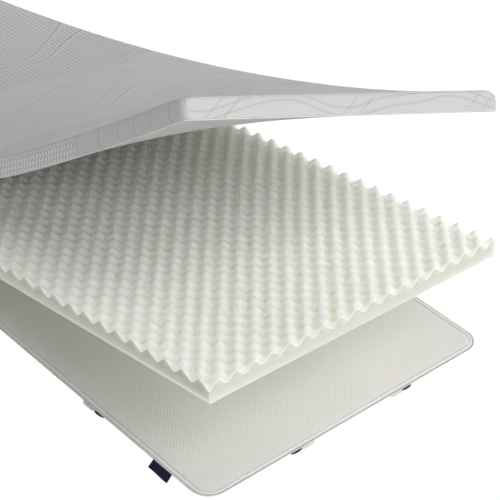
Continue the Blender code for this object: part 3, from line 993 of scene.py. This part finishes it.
class TOPPER_OT_bottom_panel(bpy.types.Operator):
    """Ribbed panel of the bottom cover, which lies flat over the elastics"""

    bl_idname = "topper.bottom_panel"
    bl_label = "Bottom panel"

    def execute(self, context):
        sizes, colours = settings()
        inset = LOWER_ZIP_WIDTH + CLEARANCE + WELT_WIDTH + GROOVE_WIDTH
        width, length, _ = inset_outline(PANEL_CORNER_RADIUS, inset)
        bm = rounded_plate(PANEL_CORNER_RADIUS, inset, 0.0, PANEL_THICKNESS)
        round_edges(bm, PANEL_THICKNESS, PANEL_ROUNDING, 3)
        cut_in_steps(bm, width, length, PANEL_STEPS)
        for vert in bm.verts:
            if vert.co.z > 0.5 * PANEL_THICKNESS:
                vert.co.z += unevenness(vert.co, PANEL_SWELL)
            else:
                vert.co.z += self.lift_over_band(vert.co)
        piece = finish_piece("bottom_knit", bm, panel_finish(colours, sizes), "bottom_knit", "bottom_panel")
        return {"FINISHED"}

    @staticmethod
    def lift_over_band(place):
        """How far the underside lifts to clear the elastic under its corner."""
        foot = Vector(((BAND_FOOT_NEAR + BAND_FOOT_FAR) / 2, LENGTH / 2))
        side = Vector((WIDTH / 2, (BAND_SIDE_NEAR + BAND_SIDE_FAR) / 2))
        run = (side - foot).normalized()
        offset = Vector((abs(place.x), abs(place.y))) - foot
        away = abs(offset.x * run.y - offset.y * run.x)
        return (BAND_THICKNESS + CLEARANCE) * smooth_ramp((CHANNEL_REACH - away) / CHANNEL_RAMP)


class TOPPER_OT_bottom_rim(bpy.types.Operator):
    """Padded welt with its stitches, and the lower half of the zip"""

    bl_idname = "topper.bottom_rim"
    bl_label = "Welt and lower zip half"

    def execute(self, context):
        sizes, colours = settings()
        inset = LOWER_ZIP_WIDTH + CLEARANCE
        bm = rounded_ring(PANEL_CORNER_RADIUS, inset, WELT_WIDTH, RIM_UNDERSIDE, WELT_HEIGHT)
        round_edges(bm, RIM_UNDERSIDE + WELT_HEIGHT, WELT_TOP_ROUNDING, 5)
        round_edges(bm, RIM_UNDERSIDE, WELT_FOOT_ROUNDING, 3)
        material = woven_finish("welt_fabric", colours.welt, *WELT_WEAVE)
        finish_piece("welt_band", bm, material, "welt_fabric", "edge_welt")

        places = rim_places(PANEL_CORNER_RADIUS, inset + WELT_WIDTH - STITCH_INSET, sizes.stitch_pitch)
        height = RIM_UNDERSIDE + WELT_HEIGHT - STITCH_DEPTH
        bm = rods_round_rim(places, height, STITCH_LENGTH, STITCH_RADIUS, lengthways=True)
        material = woven_finish("welt_thread", tinted(colours.welt, 0.72)[:3], *STITCH_WEAVE)
        finish_piece("welt_stitches", bm, material, "welt_fabric")

        bm = rounded_ring(PANEL_CORNER_RADIUS, 0.0, LOWER_ZIP_WIDTH, RIM_UNDERSIDE, LOWER_TAPE_THICKNESS)
        round_edges(bm, RIM_UNDERSIDE + LOWER_TAPE_THICKNESS, TAPE_ROUNDING, 2)
        material = woven_finish("zip_tape_flat", colours.zip_tape, *TAPE_WEAVE)
        finish_piece("lower_zip_band", bm, material, "zip_tape", "lower_zip_tape")
        places = rim_places(PANEL_CORNER_RADIUS, LOWER_TOOTH_INSET, sizes.tooth_pitch)
        bm = rods_round_rim(places, RIM_UNDERSIDE + LOWER_TOOTH_HEIGHT, TOOTH_LENGTH, TOOTH_RADIUS)
        material = woven_finish("zip_teeth_flat", colours.zip_teeth, *TEETH_WEAVE)
        finish_piece("lower_zip_teeth", bm, material, "zip_tape")
        return {"FINISHED"}


class TOPPER_OT_corner_elastics(bpy.types.Operator):
    """Elastic band under each corner and the sewn tabs beside its ends"""

    bl_idname = "topper.corner_elastics"
    bl_label = "Corner elastics"

    def execute(self, context):
        _, colours = settings()
        elastic = elastic_finish(colours)
        webbing = woven_finish("tab_webbing", colours.tab, *TAB_WEAVE)
        swap = Matrix(((0, 1, 0, 0), (1, 0, 0, 0), (0, 0, 1, 0), (0, 0, 0, 1)))
        for side_y, end_name in ((-1, "foot"), (1, "head")):
            for side_x, side_name in ((-1, "left"), (1, "right")):
                corner = f"{end_name}_{side_name}"
                mirror = Matrix.Diagonal((side_x, side_y, 1.0, 1.0))
                node = f"corner_elastic_{corner}"
                finish_piece(f"elastic_{corner}", self.band(mirror), elastic, "elastic", node)
                tab_places = (
                    ("end", BAND_FOOT_NEAR, LENGTH / 2, mirror),
                    ("side", BAND_SIDE_NEAR, WIDTH / 2, mirror @ swap),
                )
                for end, near, edge, place in tab_places:
                    bm = self.tab(near - CLEARANCE, edge, place)
                    finish_piece(f"tab_{end}_{corner}", bm, webbing, "tab_webbing", f"{end}_tab_{corner}")
        return {"FINISHED"}

    @staticmethod
    def band(mirror):
        """Band from the end edge to the long edge, with soft rounded ends."""
        edge_y, edge_x = LENGTH / 2 + BAND_REACH, WIDTH / 2 + BAND_REACH
        corners = [
            (BAND_FOOT_NEAR, edge_y),
            (BAND_FOOT_FAR, edge_y),
            (edge_x, BAND_SIDE_FAR),
            (edge_x, BAND_SIDE_NEAR),
        ]
        bm = bmesh.new()
        verts = [bm.verts.new((x, y, 0.0)) for x, y in corners]
        bm.faces.new(verts)
        ends = [bm.edges.get(verts[0:2]), bm.edges.get(verts[2:4])]
        bmesh.ops.subdivide_edges(bm, edges=ends, cuts=7, use_grid_fill=True)
        for vert in bm.verts:
            if vert.co.y > edge_y - TOLERANCE:
                share = (vert.co.x - BAND_FOOT_NEAR) / (BAND_FOOT_FAR - BAND_FOOT_NEAR)
                vert.co.y += BAND_BULGE * math.sin(math.pi * share) - BAND_BULGE_START
            elif vert.co.x > edge_x - TOLERANCE:
                share = (vert.co.y - BAND_SIDE_NEAR) / (BAND_SIDE_FAR - BAND_SIDE_NEAR)
                vert.co.x += BAND_BULGE * math.sin(math.pi * share) - BAND_BULGE_START
        thicken(bm, BAND_THICKNESS)
        round_edges(bm, BAND_THICKNESS, BAND_ROUNDING, 3)
        bmesh.ops.transform(bm, matrix=mirror, verts=bm.verts)
        return bm

    @staticmethod
    def tab(start, edge, place):
        """Tab beside a band end, slanted at its far corner."""
        outline = [
            (start, edge - TAB_ROOT),
            (start, edge + TAB_REACH),
            (start - TAB_LENGTH + TAB_SLANT, edge + TAB_REACH),
            (start - TAB_LENGTH, edge),
            (start - TAB_LENGTH, edge - TAB_ROOT),
        ]
        bm = bmesh.new()
        bm.faces.new([bm.verts.new((x, y, 0.0)) for x, y in outline])
        outer = [vert for vert in bm.verts if vert.co.y > edge + TOLERANCE]
        bevel(bm, outer, TAB_CORNER_RADIUS, segments=4, affect="VERTICES")
        thicken(bm, TAB_THICKNESS)
        round_edges(bm, TAB_THICKNESS, TAB_ROUNDING, 3)
        bmesh.ops.transform(bm, matrix=place, verts=bm.verts)
        return bm


class TOPPER_OT_side_label(bpy.types.Operator):
    """Woven label, bare, that stands out of the left long edge askew"""

    bl_idname = "topper.side_label"
    bl_label = "Side label"

    def execute(self, context):
        _, colours = settings()
        inner = -WIDTH / 2 - CLEARANCE
        middle = (inner - LABEL_REACH / 2, LABEL_CENTRE_Y, LABEL_UNDERSIDE)
        bm = flat_grid(LABEL_REACH, LABEL_LENGTH, LABEL_STEPS, middle)
        for vert in bm.verts:
            vert.co.y += LABEL_SKEW * (vert.co.x - inner) / LABEL_REACH
        thicken(bm, LABEL_THICKNESS)
        round_edges(bm, LABEL_UNDERSIDE + LABEL_THICKNESS, LABEL_ROUNDING, 3)
        for vert in bm.verts:
            reach = (inner - vert.co.x) / LABEL_REACH
            along = (vert.co.y - LABEL_CENTRE_Y) / LABEL_LENGTH
            wave = math.sin(LABEL_WAVE_TURN * along + LABEL_WAVE_START)
            vert.co.z += reach * (LABEL_WAVE_DEPTH * wave - LABEL_DROOP)
        piece = finish_piece("label_weave", bm, label_finish(colours), "label_weave", "side_label")
        return {"FINISHED"}


class TOPPER_OT_stage(bpy.types.Operator):
    """Pale floor, soft studio light and the camera"""

    bl_idname = "topper.stage"
    bl_label = "Stage"

    def execute(self, context):
        scene = context.scene
        self.lay_floor()
        self.light(scene)
        self.aim_camera(scene)
        scene.view_settings.view_transform = "Standard"
        return {"FINISHED"}

    @staticmethod
    def lay_floor():
        """Plain pale floor that glows evenly, wide enough for every view."""
        finish = Finish("floor_paper", roughness=1.0, sheen=0.0)
        finish.colour((0.10, 0.10, 0.10, 1.0))
        finish.surface({"Emission Color": (1.0, 1.0, 1.0, 1.0), "Emission Strength": FLOOR_GLOW})
        bm = flat_grid(FLOOR_SIZE, FLOOR_SIZE, (1, 1), UP * FLOOR_HEIGHT)
        floor = scene_object("floor", bm, finish.material)

    @staticmethod
    def light(scene):
        """Soft lamps all round, mostly low, and a white world that only the camera sees."""
        world = bpy.data.worlds.new("studio")
        world.use_nodes = True
        tree = world.node_tree
        background = tree.nodes["Background"]
        background.inputs["Color"].default_value = (1.0, 1.0, 1.0, 1.0)
        seen = tree.nodes.new("ShaderNodeLightPath")
        tree.links.new(seen.outputs["Is Camera Ray"], background.inputs["Strength"])
        scene.world = world
        for name, azimuth, elevation, width, energy in STUDIO_LAMPS:
            lamp = bpy.data.lights.new(name, "SUN")
            lamp.energy = energy
            lamp.angle = math.radians(width)
            holder = bpy.data.objects.new(name, lamp)
            turn, lift = math.radians(azimuth), math.radians(elevation)
            level = Vector((math.sin(turn), -math.cos(turn), 0.0))
            towards = level * math.cos(lift) + UP * math.sin(lift)
            holder.rotation_mode = "QUATERNION"
            holder.rotation_quaternion = towards.to_track_quat("Z", "Y")
            scene.collection.objects.link(holder)

    @staticmethod
    def aim_camera(scene):
        """Camera high beyond the left foot corner, looking down across the topper."""
        data = bpy.data.cameras.new("camera")
        data.sensor_width = 36.0
        data.lens = CAMERA_LENS
        data.clip_end = 100.0
        camera = bpy.data.objects.new("camera", data)
        turned = Matrix((CAMERA_RIGHT, CAMERA_UP, CAMERA_BACK)).transposed().to_4x4()
        camera.matrix_world = Matrix.Translation(CAMERA_PLACE) @ turned
        scene.collection.objects.link(camera)
        scene.camera = camera


OPERATORS = [
    TOPPER_OT_foam_core,
    TOPPER_OT_comfort_foam,
    TOPPER_OT_knit_cover,
    TOPPER_OT_upper_zip,
    TOPPER_OT_bottom_panel,
    TOPPER_OT_bottom_rim,
    TOPPER_OT_corner_elastics,
    TOPPER_OT_side_label,
    TOPPER_OT_stage,
]


class TOPPER_PT_panel(bpy.types.Panel):
    """Sizes, colours and pieces of the topper"""

    bl_idname = "TOPPER_PT_panel"
    bl_label = "Mattress topper"
    bl_space_type = "VIEW_3D"
    bl_region_type = "UI"
    bl_category = "Topper"

    def draw(self, context):
        for group in (context.scene.topper_sizes, context.scene.topper_colours):
            box = self.layout.box()
            for name in group.__annotations__:
                box.prop(group, name)
        for operator in OPERATORS:
            self.layout.operator(operator.bl_idname)


CLASSES = [TopperSizes, TopperColours, *OPERATORS, TOPPER_PT_panel]


def register():
    """Register every class and the scene's settings."""
    for listed in CLASSES:
        bpy.utils.register_class(listed)
    bpy.types.Scene.topper_sizes = bpy.props.PointerProperty(type=TopperSizes)
    bpy.types.Scene.topper_colours = bpy.props.PointerProperty(type=TopperColours)


def unregister():
    """Undo register."""
    del bpy.types.Scene.topper_colours
    del bpy.types.Scene.topper_sizes
    for listed in reversed(CLASSES):
        bpy.utils.unregister_class(listed)


def main():
    """Build every piece in order."""
    register()
    bpy.ops.topper.foam_core()
    bpy.ops.topper.comfort_foam()
    bpy.ops.topper.knit_cover()
    bpy.ops.topper.upper_zip()
    bpy.ops.topper.bottom_panel()
    bpy.ops.topper.bottom_rim()
    bpy.ops.topper.corner_elastics()
    bpy.ops.topper.side_label()
    bpy.ops.topper.stage()


if __name__ == "__main__":
    main()
